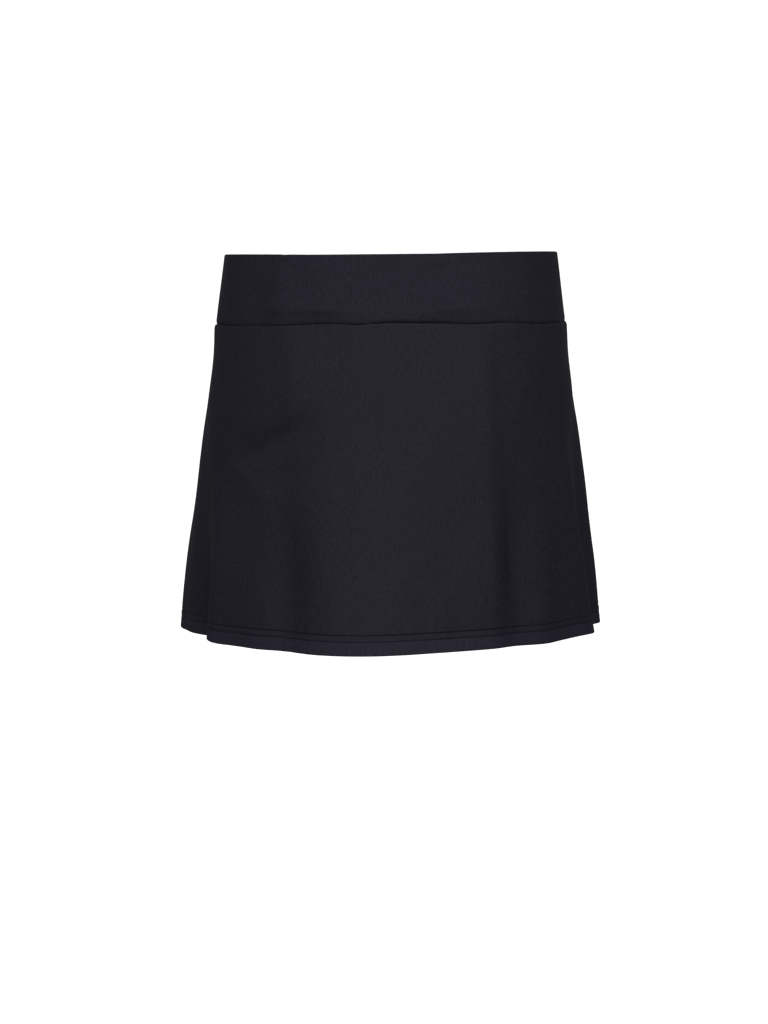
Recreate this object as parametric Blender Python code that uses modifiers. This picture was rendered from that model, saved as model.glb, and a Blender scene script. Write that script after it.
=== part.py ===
"""A tennis skort: a wide shaped waistband, a flared skirt with soft flutes at its hem, and shorts sewn in under it.

Units are metres. +Z is up, the front faces -Y and +X is to the right as seen from the front.
The origin is the middle of the waist opening, level with the waistband's top edge, where the wearer holds the skort.
Each cloth piece is an open surface worked out from sections round the body, given its wall by a Solidify modifier.
Angles run round the body from the front middle: 90 is the right side, 180 the back and -90 the left side.
"""

import math
from collections import namedtuple

import bpy
from mathutils import Vector

# --- Lengths down the garment ---
WAIST_DIP = 0.0020          # how much lower the waistband's top edge is at the front middle
BAND_HEIGHT = 0.0597        # the origin's level to the waistband's lower edge, at the front and back middle
BAND_SIDE_EXTRA = 0.0022    # how much lower that edge is at the side seams
SKORT_LENGTH = 0.3376       # the origin's level to the skirt's hem
SHORTS_LENGTH = 0.3050      # the origin's level to the shorts' hems
HEM_DEPTH = 0.0180          # turned-up cloth at the skirt's hem
LEG_HEM_DEPTH = 0.0180      # turned-up cloth at the shorts' hems
SIDE_TILT = 0.0085          # rise of every level line, per metre towards +X

# --- Cloth ---
BAND_WALL = 0.0024          # two layers of cloth over an elastic
SKIRT_WALL = 0.0011
SHORTS_WALL = 0.0010
HEM_WALL = 0.0018           # two layers
SEAM_GAP = 0.0003

# --- Shorts: where the two legs part ---
RISE_START = 0.1600         # the middle seam starts to curve under here, front and back
CROTCH_DROP = 0.2150

# --- How finely the surfaces are divided ---
SKIRT_COLUMNS = 54          # for each of the front and the back
SEAM_STRIP = 0.5            # degrees; a narrow strip there keeps the walls square at the side seams
BAND_COLUMNS = 28
OUTER_LEG_COLUMNS = 22
INNER_LEG_COLUMNS = 12

# One level of a garment: half its width, and how far it reaches forward and back of the origin.
# Squareness 2 is an ellipse, and more is a flatter front and back.
Section = namedtuple("Section", "drop half_width front back squareness")

BAND_SECTIONS = (
    Section(0.000, 0.1473, 0.0985, 0.1040, 2.70),
    Section(0.030, 0.1512, 0.1030, 0.1105, 2.70),
    Section(0.062, 0.1553, 0.1080, 0.1175, 2.70),
)

SKIRT_SECTIONS = (
    Section(0.060, 0.1563, 0.1090, 0.1185, 2.70),
    Section(0.085, 0.1580, 0.1120, 0.1240, 2.70),
    Section(0.115, 0.1620, 0.1150, 0.1295, 2.60),
    Section(0.165, 0.1692, 0.1190, 0.1350, 2.40),
    Section(0.225, 0.1778, 0.1245, 0.1390, 2.20),
    Section(0.285, 0.1866, 0.1320, 0.1430, 2.00),
    Section(0.338, 0.1921, 0.1390, 0.1480, 1.90),
)

# Half of the shorts on one leg. middle_x and middle_y are the section's middle: on the garment's
# middle plane round the hips, and in the middle of the thigh below them.
LegSection = namedtuple("LegSection", "drop middle_x middle_y half_width front back squareness")

LEG_SECTIONS = (
    LegSection(0.060, 0.0000, 0.0000, 0.1540, 0.1065, 0.1160, 2.70),
    LegSection(0.085, 0.0000, 0.0000, 0.1556, 0.1085, 0.1205, 2.65),
    LegSection(0.115, 0.0000, 0.0000, 0.1590, 0.1095, 0.1250, 2.50),
    LegSection(0.160, 0.0000, 0.0000, 0.1630, 0.1085, 0.1290, 2.30),
    LegSection(0.200, 0.0320, 0.0030, 0.1315, 0.1020, 0.1210, 2.20),
    LegSection(0.235, 0.0690, 0.0060, 0.0930, 0.0930, 0.1060, 2.15),
    LegSection(0.270, 0.0820, 0.0080, 0.0780, 0.0870, 0.0940, 2.10),
    LegSection(0.305, 0.0850, 0.0080, 0.0740, 0.0840, 0.0880, 2.10),
)

# A flute of the skirt. It runs from top_angle where it starts to hem_angle at the hem, is 2 * spread
# degrees wide, and reaches its full rise, outwards if positive, at the hem.
Flute = namedtuple("Flute", "top_angle hem_angle spread rise start")

FLUTES = (
    Flute(-16, -19, 36, 0.0074, 0.150),    # front, a broad crest just left of the middle
    Flute(-42, -37, 14, -0.0052, 0.120),   # the left valley
    Flute(-54, -54, 9, -0.0018, 0.150),
    Flute(-63, -66, 9, 0.0055, 0.150),     # left crest, which hides the next one from the front
    Flute(-73, -73, 11, -0.0170, 0.160),
    Flute(-84, -83, 8, -0.0060, 0.180),
    Flute(-97, -97, 9, 0.0020, 0.200),
    Flute(30, 30, 34, -0.0062, 0.140),     # front, a broad shallow trough right of the middle
    Flute(48, 48, 11, -0.0070, 0.130),     # the right valley
    Flute(60, 62, 16, -0.0052, 0.180),
    Flute(62, 75, 9, 0.0055, 0.130),       # right crest, which hides the next one from the front
    Flute(74, 83, 10, -0.0205, 0.115),
    Flute(91, 97, 8, 0.0008, 0.130),
    Flute(112, 114, 12, -0.0090, 0.170),   # the back's flutes
    Flute(132, 133, 12, 0.0060, 0.150),
    Flute(150, 151, 11, -0.0080, 0.160),
    Flute(178, 180, 24, 0.0030, 0.160),
    Flute(-152, -151, 12, -0.0090, 0.150),
    Flute(-133, -132, 12, 0.0065, 0.150),
    Flute(-114, -114, 11, -0.0080, 0.170),
)

# How the cloth's face turns in at an edge: (distance from the edge, depth below the face).
FOLDED_EDGE = ((0.0000, 0.0009), (0.0005, 0.0003), (0.0014, 0.0000))
SEAMED_EDGE = ((0.0000, 0.0009), (0.0018, 0.0004), (0.0050, 0.0000))

# Levels of the panels between their edges, as shares of the way down.
BAND_LEVELS = (0.00, 0.010, 0.024, 0.25, 0.50, 0.75, 0.915, 0.970, 1.00)
SKIRT_LEVELS = (0.00, 0.007, 0.018, 0.09, 0.19, 0.29, 0.39, 0.49, 0.59, 0.69, 0.79, 0.87)
HIP_LEVELS = (0.00, 0.20, 0.40, 0.60, 0.80, 1.00)
LEG_LEVELS = (0.00, 0.12, 0.24, 0.36, 0.48, 0.60, 0.72, 0.86, 1.00)

NAVY_BLACK = (0.0185, 0.0176, 0.0250, 1.0)
INNER_BLACK = (0.0150, 0.0145, 0.0200, 1.0)


# --- Reading the tables ---

def between(rows, column, drop):
    """A column of a table of sections at any drop, on a smooth curve through the rows."""
    at = [row.drop for row in rows]
    values = [getattr(row, column) for row in rows]
    drop = min(max(drop, at[0]), at[-1])
    i = max(k for k in range(len(at) - 1) if at[k] <= drop)

    def slope(k):
        rises = [(values[n + 1] - values[n]) / (at[n + 1] - at[n]) for n in (k - 1, k) if 0 <= n < len(at) - 1]
        if min(rises) * max(rises) <= 0:
            return 0.0
        return len(rises) / sum(1 / rise for rise in rises)

    step = at[i + 1] - at[i]
    t = (drop - at[i]) / step
    return (
        (2 * t**3 - 3 * t**2 + 1) * values[i]
        + (t**3 - 2 * t**2 + t) * step * slope(i)
        + (3 * t**2 - 2 * t**3) * values[i + 1]
        + (t**3 - t**2) * step * slope(i + 1)
    )


def turned_in(edge, distance):
    """Depth of the cloth's face below its smooth line, this far from an edge."""
    for (near, deep), (far, shallow) in zip(edge, edge[1:]):
        if distance <= far:
            return deep + (shallow - deep) * (distance - near) / (far - near)
    return 0.0


def radius(half_width, depth, squareness, across, along):
    """Distance from a section's middle to its line, in the direction (across, along)."""
    return (abs(across / half_width) ** squareness + abs(along / depth) ** squareness) ** (-1 / squareness)


def tilted(x, y, drop):
    return Vector((x, y, SIDE_TILT * x - drop))


# --- The garment's surfaces ---

def section_point(rows, angle, drop, rise):
    """A point of a waistband or skirt at an angle and drop, moved outwards by rise."""
    turn = math.radians(angle)
    across, along = math.sin(turn), -math.cos(turn)
    depth = between(rows, "front" if along < 0 else "back", drop)
    r = radius(between(rows, "half_width", drop), depth, between(rows, "squareness", drop), across, along)
    return tilted((r + rise) * across, (r + rise) * along, drop)


def band_bottom(angle):
    """Drop of the waistband's lower edge."""
    return BAND_HEIGHT + BAND_SIDE_EXTRA * math.sin(math.radians(angle)) ** 2


def band_point(angle, share):
    top, bottom = WAIST_DIP * max(0.0, math.cos(math.radians(angle))) ** 2, band_bottom(angle)
    drop = top + share * (bottom - top)
    inset = turned_in(FOLDED_EDGE, drop - top) + turned_in(SEAMED_EDGE, bottom - drop)
    return section_point(BAND_SECTIONS, angle, drop, -inset)


def flute_rise(angle, drop):
    """How far the flutes move the skirt outwards at an angle and drop."""
    rise = 0.0
    for flute in FLUTES:
        grown = (drop - flute.start) / (SKORT_LENGTH - flute.start)
        if grown <= 0:
            continue
        middle = flute.top_angle + (flute.hem_angle - flute.top_angle) * grown
        away = abs((angle - middle + 180) % 360 - 180) / flute.spread
        if away < 1:
            rise += flute.rise * grown**1.2 * math.cos(away * math.pi / 2) ** 2
    return rise


def skirt_point(angle, share):
    top = band_bottom(angle) + SEAM_GAP
    drop = top + share * (SKORT_LENGTH - top)
    inset = turned_in(SEAMED_EDGE, drop - top) + turned_in(FOLDED_EDGE, SKORT_LENGTH - drop)
    return section_point(SKIRT_SECTIONS, angle, drop, flute_rise(angle, drop) - inset)


def leg_point(turn, drop):
    """A point of a leg at an angle round its own middle: -90 is its front, 0 its outer side and 90 its back."""
    across, along = math.cos(math.radians(turn)), math.sin(math.radians(turn))
    depth = between(LEG_SECTIONS, "front" if along < 0 else "back", drop)
    r = radius(
        between(LEG_SECTIONS, "half_width", drop), depth, between(LEG_SECTIONS, "squareness", drop), across, along
    )
    x = SEAM_GAP / 2 + between(LEG_SECTIONS, "middle_x", drop) + r * across
    return Vector((x, between(LEG_SECTIONS, "middle_y", drop) + r * along, drop))


def crotch_point(share):
    """The middle seam's curve under the body, from its front end at 0 to its back end at 1."""
    front, back = leg_point(-90, RISE_START), leg_point(90, RISE_START)
    turn = math.pi * (share - 0.5)
    middle, reach = (front.y + back.y) / 2, (back.y - front.y) / 2
    drop = RISE_START + (CROTCH_DROP - RISE_START) * math.cos(turn)
    return Vector((SEAM_GAP / 2, middle + reach * math.sin(turn), drop))


def inner_leg_point(share, down):
    """The inside of a leg, between its front line at share 0 and its back line at 1, from the middle seam to the hem."""
    drop = RISE_START + (SHORTS_LENGTH - RISE_START) * down
    front, back = leg_point(-90, drop), leg_point(90, drop)
    seam, hem = crotch_point(share), leg_point(-90 - 180 * share, SHORTS_LENGTH)
    corners = (
        (1 - share) * (1 - down) * crotch_point(0)
        + share * (1 - down) * crotch_point(1)
        + (1 - share) * down * leg_point(-90, SHORTS_LENGTH)
        + share * down * leg_point(90, SHORTS_LENGTH)
    )
    return (1 - down) * seam + down * hem + (1 - share) * front + share * back - corners


# --- Making the pieces ---

def material(name, colour, roughness):
    made = bpy.data.materials.new(name)
    made.use_nodes = True
    shader = made.node_tree.nodes["Principled BSDF"]
    shader.inputs["Base Color"].default_value = colour
    shader.inputs["Roughness"].default_value = roughness
    shader.inputs["Metallic"].default_value = 0.0
    return made


def crowded_angles(first, last, count):
    """Angles from first to last, closer together where the skirt's flutes are narrow and at the side seams."""
    steps = 720
    fine = [first + (last - first) * k / steps for k in range(steps + 1)]
    crowd = [0.0]
    for angle in fine[1:]:
        weight = 1.0
        for flute in FLUTES:
            away = abs((angle - flute.hem_angle + 180) % 360 - 180) / flute.spread
            weight += max(0.0, 1 - away) * 9 / flute.spread
        crowd.append(crowd[-1] + weight)
    angles, k = [first, first + SEAM_STRIP], 0
    for i in range(1, count):
        wanted = crowd[-1] * i / count
        while crowd[k] < wanted:
            k += 1
        angles.append(fine[k])
    return angles + [last - SEAM_STRIP, last]


def panel_ends(first, last, narrowest):
    """The panel's first and last angle, half a seam gap short of each side seam."""
    short = math.degrees(SEAM_GAP / 2 / narrowest)
    return first + short, last - short


def cloth_piece(name, points, faces, layers, wall, single_share, finish, collection):
    """An open surface with a wall on its inside. layers gives each point's share of the full wall, from 0 to 1,
    where 0 stands for single_share of it."""
    mesh = bpy.data.meshes.new(name)
    mesh.from_pydata(points, [], faces)
    mesh.materials.append(finish)
    mesh.shade_smooth()
    piece = bpy.data.objects.new(name, mesh)
    collection.objects.link(piece)
    group = piece.vertex_groups.new(name="layers")
    for index, share in enumerate(layers):
        group.add([index], share, "REPLACE")
    solidify = piece.modifiers.new("wall", "SOLIDIFY")
    solidify.thickness = wall
    solidify.offset = -1
    solidify.use_even_offset = True
    solidify.use_quality_normals = True
    solidify.vertex_group = group.name
    solidify.thickness_vertex_group = single_share
    return piece


def grid_faces(rows, columns, start=0):
    """Quads of a grid of points listed row by row from the top, facing outwards."""
    faces = []
    for i in range(rows - 1):
        for j in range(columns - 1):
            corner = start + i * columns + j
            faces.append((corner, corner + columns, corner + columns + 1, corner + 1))
    return faces


def band_piece(name, first, last, finish, collection):
    first, last = panel_ends(first, last, BAND_SECTIONS[0].half_width)
    angles = [first + (last - first) * j / BAND_COLUMNS for j in range(BAND_COLUMNS + 1)]
    points, layers = [], []
    for share in BAND_LEVELS:
        for angle in angles:
            points.append(band_point(angle, share))
            from_edge = min(share, 1 - share) * BAND_HEIGHT
            layers.append(min(1.0, 0.3 + from_edge / FOLDED_EDGE[-1][0]))
    return cloth_piece(
        name, points, grid_faces(len(BAND_LEVELS), len(angles)), layers, BAND_WALL, 0.0, finish, collection
    )


def skirt_piece(name, first, last, finish, collection):
    first, last = panel_ends(first, last, SKIRT_SECTIONS[0].half_width)
    angles = crowded_angles(first, last, SKIRT_COLUMNS)
    height = SKORT_LENGTH - BAND_HEIGHT
    hem_levels = [1 - HEM_DEPTH / height, 1 - (HEM_DEPTH - 0.0015) / height]
    edge_levels = [1 - distance / height for distance, _ in reversed(FOLDED_EDGE)]
    levels = [share for share in SKIRT_LEVELS if share < hem_levels[0] - 0.01] + hem_levels + edge_levels
    points, layers = [], []
    for share in levels:
        for angle in angles:
            points.append(skirt_point(angle, share))
            layers.append(1.0 if share >= hem_levels[1] else 0.0)
    return cloth_piece(
        name, points, grid_faces(len(levels), len(angles)), layers, HEM_WALL, SKIRT_WALL / HEM_WALL, finish, collection
    )


def shorts_piece(name, side, finish, collection):
    """The whole of one leg of the shorts. side is 1 for the one at +X and -1 for its mirror image."""
    outer_turns = [-90 + 180 * j / OUTER_LEG_COLUMNS for j in range(OUTER_LEG_COLUMNS + 1)]
    leg_height = SHORTS_LENGTH - RISE_START
    hem_levels = (1 - LEG_HEM_DEPTH / leg_height, 1 - (LEG_HEM_DEPTH - 0.0015) / leg_height)
    leg_levels = [down for down in LEG_LEVELS if down < hem_levels[0] - 0.02] + list(hem_levels) + [1.0]
    points, rows = [], []

    def put(point):
        points.append(tilted(side * point.x, point.y, point.z))
        return len(points) - 1

    for share in HIP_LEVELS[:-1]:
        row = []
        for turn in outer_turns:
            top = band_bottom(90 + turn) + SEAM_GAP
            row.append(put(leg_point(turn, top + share * (RISE_START - top))))
        rows.append(row)
    hip_rows = len(rows)
    for down in leg_levels:
        drop = RISE_START + leg_height * down
        row = [put(leg_point(turn, drop)) for turn in outer_turns]
        for j in range(INNER_LEG_COLUMNS - 1, 0, -1):
            row.append(put(inner_leg_point(j / INNER_LEG_COLUMNS, down)))
        rows.append(row)

    faces = []
    for i in range(len(rows) - 1):
        upper, lower = rows[i], rows[i + 1]
        for j in range(OUTER_LEG_COLUMNS):
            faces.append((upper[j], lower[j], lower[j + 1], upper[j + 1]))
        if i >= hip_rows:
            ring = list(range(OUTER_LEG_COLUMNS, len(upper))) + [0]
            for a, b in zip(ring, ring[1:]):
                faces.append((upper[a], lower[a], lower[b], upper[b]))
    if side < 0:
        faces = [face[::-1] for face in faces]
    hem_top = RISE_START + leg_height * hem_levels[1]
    layers = [1.0 if SIDE_TILT * point.x - point.z >= hem_top - 1e-5 else 0.0 for point in points]
    return cloth_piece(name, points, faces, layers, HEM_WALL, SHORTS_WALL / HEM_WALL, finish, collection)


def main():
    for old in list(bpy.data.objects):
        bpy.data.objects.remove(old)
    collection = bpy.data.collections.new("tennis_skort")
    bpy.context.scene.collection.children.link(collection)
    outer_cloth = material("outer_cloth", NAVY_BLACK, 0.75)
    inner_cloth = material("inner_cloth", INNER_BLACK, 0.75)
    band_piece("waistband_front", -90, 90, outer_cloth, collection)
    band_piece("waistband_back", 90, 270, outer_cloth, collection)
    skirt_piece("skirt_front", -90, 90, outer_cloth, collection)
    skirt_piece("skirt_back", 90, 270, outer_cloth, collection)
    shorts_piece("shorts_leg_right", 1, inner_cloth, collection)
    shorts_piece("shorts_leg_left", -1, inner_cloth, collection)


if __name__ == "__main__":
    main()
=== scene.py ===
"""A tennis skort in matt blue-black jersey, filled out as it is worn.

Lengths are metres and angles degrees, unless a name says otherwise. +Z is up and the front faces -Y.
A drop is a distance down from the waist opening's level. Angles run round the body from the front middle:
90 is the right side, 180 the back and -90 the left side.
"""

import math
from collections import namedtuple

import bpy
import numpy as np
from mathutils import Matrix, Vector


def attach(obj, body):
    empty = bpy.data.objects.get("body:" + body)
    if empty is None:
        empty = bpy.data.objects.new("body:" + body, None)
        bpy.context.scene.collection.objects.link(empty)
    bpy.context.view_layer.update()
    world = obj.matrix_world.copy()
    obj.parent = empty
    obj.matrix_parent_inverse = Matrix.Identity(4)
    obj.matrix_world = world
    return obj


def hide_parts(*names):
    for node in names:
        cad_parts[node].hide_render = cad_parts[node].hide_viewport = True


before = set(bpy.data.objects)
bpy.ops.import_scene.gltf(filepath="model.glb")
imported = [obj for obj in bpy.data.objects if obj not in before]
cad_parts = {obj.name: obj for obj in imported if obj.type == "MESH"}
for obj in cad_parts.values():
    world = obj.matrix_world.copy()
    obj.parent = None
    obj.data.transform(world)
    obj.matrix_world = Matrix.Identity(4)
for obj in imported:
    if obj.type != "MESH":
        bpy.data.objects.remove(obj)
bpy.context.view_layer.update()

# --- Driving dimensions, the same as the solids' ---
WAIST_DIP = 0.0020          # how much lower the waistband's top edge is at the front middle
BAND_HEIGHT = 0.0597
BAND_SIDE_EXTRA = 0.0022    # how much lower the waist seam is at the side seams
SKORT_LENGTH = 0.3376
SHORTS_LENGTH = 0.3050
SIDE_TILT = 0.0085          # rise of every level line, per metre towards +X
RISE_START = 0.1600         # the shorts' middle seam starts to curve under here
CROTCH_DROP = 0.2150
SEAM_GAP = 0.0003
METRES_PER_DEGREE = math.radians(1) * 0.155     # round the body, at its mean radius

# --- Cloth ---
KNIT = 0.0005               # thickness of one layer
BAND_WALL = 0.0024          # waistband, over both layers and the elastic
HEM_WALL = 0.0017           # skirt's hem, over both layers
LEG_HEM_WALL = 0.0015
TURN_UP = 0.0183            # from the hem's fold to the cut edge inside it
LEG_TURN_UP = 0.0186
NEEDLE_ROWS = (0.0111, 0.0165)      # the twin needle's two rows, above the hem's fold
NEEDLE_GROOVES = (0.00050, 0.00075)     # how deep each row sinks into the cloth
GROOVE_HALF_WIDTH = 0.00045
LEG_NEEDLE_ROWS = (0.0135, 0.0170)
STITCH = 0.0019             # length of one stitch
THREAD = 0.00036            # diameter
ALLOWANCE = 0.0070          # width of the cut edges beyond a seam
SEAM_PLIES = 0.0012         # thickness of the pieces sewn together there

# --- What sewing does to the cloth beside it ---
# size is how far it moves the cloth, and reach how far away from the sewing that dies out.
Pull = namedtuple("Pull", "size reach")

SIDE_DIP = Pull(0.0012, 0.035)              # the waistband's top edge rounds down to the side seams
BAND_TURN = Pull(0.0010, 0.0042)            # the faces fall away into the waist seam
SKIRT_TURN = Pull(0.0009, 0.0036)
SIDE_TURN = Pull(0.0008, 0.0030)            # and into the side seams
BAND_PUCKERS = Pull(0.00012, 0.007)
SKIRT_PUCKERS = Pull(0.00018, 0.012)
HEM_PUCKERS = Pull(0.00020, 0.010)
LEG_HEM_PUCKERS = Pull(0.00012, 0.008)
HEM_PUCKER_SHIFT = 3                        # degrees that the hem's gathers are out of step with the waist's
BETWEEN_NEEDLES = Pull(0.0002, 0.0016)      # the low welt between the needle rows
SEAM_WAVER_REACH = 0.020
HEM_FLARE = 0.0030          # how far the fold of the hem stands out at the front and the back

SEAM_SAG = 0.0008           # how much deeper the waist seam lies right of the front middle
SEAM_SAG_ANGLE = 12
SEAM_SAG_SPREAD = 40

# A wave over the cloth: its size, how many there are round the body, how many radians it runs on for each
# metre of drop, and where it starts.
Wave = namedtuple("Wave", "size round_body per_drop start")

UNEVEN_WAVES = (
    Wave(1.0, 5, 31, 1.3),
    Wave(0.7, 11, -47, 0.4),
    Wave(0.5, 17, 83, 2.1),
    Wave(0.4, 29, -21, 5.0),
)
BAND_UNEVENNESS = 0.00022
SKIRT_UNEVENNESS = 0.00028
SHORTS_UNEVENNESS = 0.00015
SEAM_WAVES = (Wave(0.0005, 9, 0, 0.5), Wave(0.0004, 15, 0, 2.2))

# A level section: half its width, how far it reaches to the front and to the back of its middle, and how
# square it is, where 2 is an ellipse.
Section = namedtuple("Section", "drop half_width front back squareness")

BAND_SECTIONS = (
    Section(0.000, 0.1473, 0.0985, 0.1040, 2.70),
    Section(0.030, 0.1512, 0.1030, 0.1105, 2.70),
    Section(0.062, 0.1553, 0.1080, 0.1175, 2.70),
)

SKIRT_SECTIONS = (
    Section(0.060, 0.1563, 0.1090, 0.1185, 2.70),
    Section(0.085, 0.1580, 0.1120, 0.1240, 2.70),
    Section(0.115, 0.1620, 0.1150, 0.1295, 2.60),
    Section(0.165, 0.1692, 0.1190, 0.1350, 2.40),
    Section(0.225, 0.1778, 0.1245, 0.1390, 2.20),
    Section(0.285, 0.1866, 0.1320, 0.1430, 2.00),
    Section(0.338, 0.1921, 0.1390, 0.1480, 1.90),
)

# The same for the shorts' +X leg, whose middle moves out to its own side below the crotch.
LegSection = namedtuple("LegSection", "drop middle_x middle_y half_width front back squareness")

LEG_SECTIONS = (
    LegSection(0.060, 0.0000, 0.0000, 0.1540, 0.1065, 0.1160, 2.70),
    LegSection(0.085, 0.0000, 0.0000, 0.1556, 0.1085, 0.1205, 2.65),
    LegSection(0.115, 0.0000, 0.0000, 0.1590, 0.1095, 0.1250, 2.50),
    LegSection(0.160, 0.0000, 0.0000, 0.1630, 0.1085, 0.1290, 2.30),
    LegSection(0.200, 0.0320, 0.0030, 0.1315, 0.1020, 0.1210, 2.20),
    LegSection(0.235, 0.0690, 0.0060, 0.0930, 0.0930, 0.1060, 2.15),
    LegSection(0.270, 0.0820, 0.0080, 0.0780, 0.0870, 0.0940, 2.10),
    LegSection(0.305, 0.0850, 0.0080, 0.0740, 0.0840, 0.0880, 2.10),
)

# A flute runs from top_angle where it starts to hem_angle at the hem, is 2 * spread degrees wide, and
# reaches its full rise, outwards if positive, at the hem.
Flute = namedtuple("Flute", "top_angle hem_angle spread rise start")

FLUTE_OPENING = 1.2         # the power of the way down that a flute's rise grows with

FLUTES = (
    Flute(-16, -19, 36, 0.0074, 0.150),
    Flute(-42, -37, 14, -0.0052, 0.120),
    Flute(-54, -54, 9, -0.0018, 0.150),
    Flute(-63, -66, 9, 0.0055, 0.150),
    Flute(-73, -73, 11, -0.0170, 0.160),
    Flute(-84, -83, 8, -0.0060, 0.180),
    Flute(-97, -97, 9, 0.0020, 0.200),
    Flute(30, 30, 34, -0.0062, 0.140),
    Flute(48, 48, 11, -0.0070, 0.130),
    Flute(60, 62, 16, -0.0052, 0.180),
    Flute(62, 75, 9, 0.0055, 0.130),
    Flute(74, 83, 10, -0.0205, 0.115),
    Flute(91, 97, 8, 0.0008, 0.130),
    Flute(112, 114, 12, -0.0090, 0.170),
    Flute(132, 133, 12, 0.0060, 0.150),
    Flute(150, 151, 11, -0.0080, 0.160),
    Flute(178, 180, 24, 0.0030, 0.160),
    Flute(-152, -151, 12, -0.0090, 0.150),
    Flute(-133, -132, 12, 0.0065, 0.150),
    Flute(-114, -114, 11, -0.0080, 0.170),
)

# Where an edge of the garment lies higher than its level line, or lower if rise is negative: 2 * spread
# degrees wide, and reaching this far from the edge.
Lift = namedtuple("Lift", "angle spread rise reach")

TOP_LIFTS = (Lift(45, 45, 0.0006, 0.030),)
HEM_LIFTS = (
    Lift(-67, 8, 0.0025, 0.050),
    Lift(56, 18, -0.0011, 0.120),
    Lift(75, 10, 0.0010, 0.050),
)

# A soft crease from one point of the cloth through a middle one to another, as deep as depth where it is
# strongest, which is at the share peak of its length. Its sides are near and far wide: near is the one on
# the left of the way it runs. A negative depth is a ridge.
Crease = namedtuple("Crease", "angle_a drop_a angle_m drop_m angle_b drop_b near far depth peak")

CREASE_POINTS = 61          # on the way from one end to the other
CREASE_BLEND = 0.002        # how gradually the near side's width becomes the far side's

SKIRT_CREASES = (
    # left front: the drag from the hip, and the valley that falls from it
    Crease(-58, 0.184, -44, 0.160, -12, 0.122, 0.013, 0.019, 0.0046, 0.38),
    Crease(-52, 0.205, -43, 0.190, -28, 0.182, 0.010, 0.012, 0.0018, 0.50),
    Crease(-42, 0.165, -38.5, 0.255, -36.5, 0.350, 0.018, 0.032, 0.0034, 0.62),
    Crease(-60, 0.190, -62, 0.260, -64, 0.345, 0.024, 0.006, -0.0032, 0.60),
    Crease(-38, -0.030, -39, 0.075, -38, 0.175, 0.015, 0.012, -0.0016, 0.50),
    # right front: the narrow valley, and a softer one beside it
    Crease(45, 0.165, 46.5, 0.245, 47.5, 0.335, 0.024, 0.011, 0.0044, 0.62),
    Crease(38, -0.030, 37, 0.110, 37, 0.250, 0.012, 0.015, -0.0018, 0.50),
    Crease(36, 0.170, 37, 0.250, 37.5, 0.350, 0.009, 0.022, -0.0022, 0.65),
    Crease(56, 0.225, 61, 0.280, 64, 0.345, 0.009, 0.010, 0.0010, 0.70),
    Crease(23, 0.132, 33, 0.136, 44, 0.146, 0.008, 0.009, 0.0007, 0.50),
    # the sides
    Crease(92, 0.110, 80, 0.150, 72, 0.215, 0.012, 0.010, 0.0015, 0.50),
    Crease(-88, 0.120, -78, 0.165, -72, 0.235, 0.012, 0.010, 0.0016, 0.50),
    # the back
    Crease(120, 0.165, 122, 0.250, 121, 0.345, 0.011, 0.015, 0.0024, 0.70),
    Crease(126, 0.156, 141, 0.143, 158, 0.128, 0.012, 0.010, 0.0024, 0.35),
    Crease(144, 0.178, 147, 0.255, 147, 0.345, 0.014, 0.010, 0.0030, 0.72),
    Crease(160, 0.186, 172, 0.177, 186, 0.181, 0.009, 0.011, 0.0014, 0.50),
    Crease(168, 0.215, 166, 0.280, 165, 0.345, 0.013, 0.017, 0.0018, 0.70),
    Crease(-126, 0.157, -143, 0.142, -160, 0.133, 0.010, 0.013, 0.0021, 0.35),
    Crease(-118, 0.170, -121, 0.255, -120, 0.345, 0.014, 0.010, 0.0026, 0.70),
    Crease(-146, 0.185, -148, 0.262, -147, 0.345, 0.010, 0.016, 0.0028, 0.72),
    Crease(-168, 0.225, -170, 0.285, -172, 0.345, 0.016, 0.012, 0.0016, 0.70),
)

BAND_CREASES = (
    Crease(-47, -0.070, -46, 0.030, -40, 0.120, 0.016, 0.012, -0.0022, 0.50),
    Crease(-57, -0.060, -55, 0.020, -51, 0.100, 0.012, 0.012, 0.0010, 0.50),
    Crease(39, -0.050, 38, 0.030, 38, 0.110, 0.011, 0.014, -0.0012, 0.50),
    Crease(-62, 0.0480, -32, 0.0465, 2, 0.0490, 0.030, 0.0080, -0.0038, 0.50),
    Crease(2, 0.0500, 26, 0.0470, 56, 0.0480, 0.018, 0.0070, -0.0030, 0.50),
    Crease(-44, 0.012, -30, 0.014, -12, 0.020, 0.008, 0.010, -0.0018, 0.45),
    Crease(-20, 0.029, -3, 0.016, 14, 0.006, 0.009, 0.013, 0.0024, 0.55),
    Crease(2, 0.021, 22, 0.018, 48, 0.010, 0.008, 0.013, 0.0024, 0.45),
    Crease(-64, 0.015, -58, 0.028, -50, 0.044, 0.007, 0.007, 0.0005, 0.50),
    Crease(60, 0.012, 64, 0.028, 66, 0.046, 0.007, 0.007, 0.0005, 0.50),
    Crease(84, 0.020, 92, 0.032, 102, 0.040, 0.005, 0.006, 0.0005, 0.50),
    Crease(-100, 0.018, -92, 0.030, -82, 0.042, 0.005, 0.006, 0.0005, 0.50),
    Crease(122, 0.0490, 146, 0.0470, 172, 0.0485, 0.018, 0.0075, -0.0024, 0.50),
    Crease(-176, 0.0495, -152, 0.0475, -128, 0.0490, 0.016, 0.0075, -0.0020, 0.45),
    Crease(156, 0.010, 176, 0.018, 198, 0.015, 0.008, 0.012, 0.0016, 0.50),
)


# --- The garment's surfaces ---

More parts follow.
